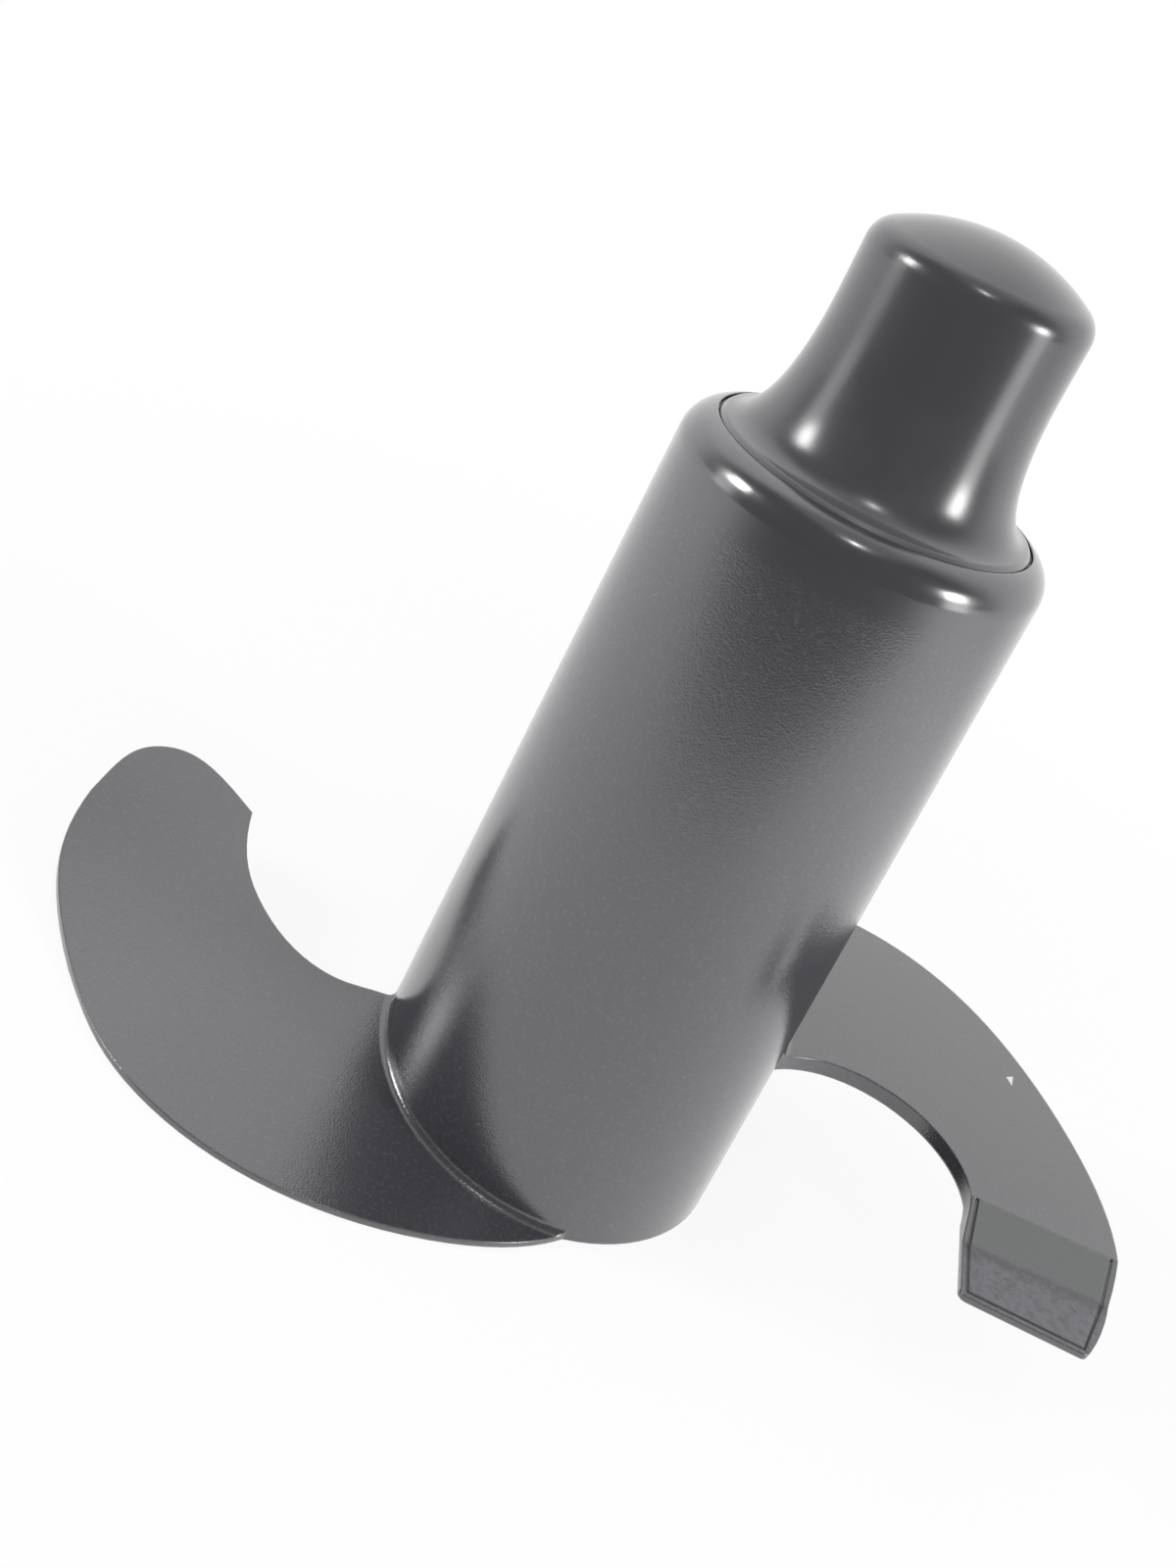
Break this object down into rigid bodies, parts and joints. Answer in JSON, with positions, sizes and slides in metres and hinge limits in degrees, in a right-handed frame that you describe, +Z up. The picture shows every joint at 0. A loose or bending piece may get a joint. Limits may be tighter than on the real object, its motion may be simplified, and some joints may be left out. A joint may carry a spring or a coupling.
{
  "type": "food processor dough blade",
  "caption": "Plastic dough blade for a food processor: tapered hub sleeve with a drive socket, a low scooped arm, a high flat arm with a stepped tip, and a push-in grip knob on top.",
  "frame": {"origin": "centre of the hub's base ring, on the surface the blade stands on", "axes": "+Z up along the hub axis towards the knob, +X along the high arm, -X along the low arm"},
  "size_m": [0.1619, 0.0897, 0.1391],
  "materials": {
    "blade_body": "satin charcoal moulded plastic",
    "top_knob": "semi-gloss charcoal moulded plastic"
  },
  "bodies": {
    "root": {"blade_body": "blade_body", "top_knob": "top_knob"}
  },
  "joints": []
}
